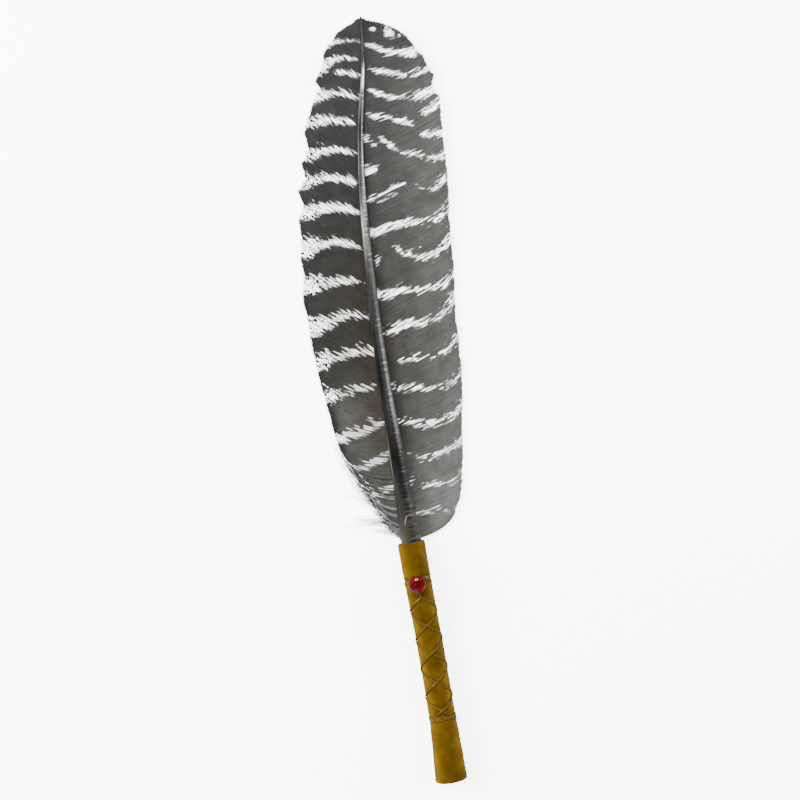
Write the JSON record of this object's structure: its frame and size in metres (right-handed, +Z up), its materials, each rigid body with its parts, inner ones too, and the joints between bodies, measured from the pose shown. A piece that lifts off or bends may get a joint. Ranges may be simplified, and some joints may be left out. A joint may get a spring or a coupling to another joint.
{
  "type": "turkey wing feather",
  "caption": "Barred wing feather with a grooved shaft, its quill in a rolled leather handle laced crosswise with sinew through a red glass bead.",
  "frame": {"origin": "middle of the bounding box, on the surface that the feather lies on", "axes": "+Y along the straight handle from its butt to the feather's tip, +X towards the wide vane, +Z up out of the grooved side of the shaft"},
  "size_m": [0.0668, 0.2862, 0.0173],
  "materials": {
    "feather": "satin",
    "leather": "satin",
    "sinew": "satin",
    "bead": "gloss"
  },
  "bodies": {
    "root": {"feather": "feather", "leather_wrap": "leather", "sinew_lacing": "sinew", "glass_bead": "bead"}
  },
  "joints": []
}
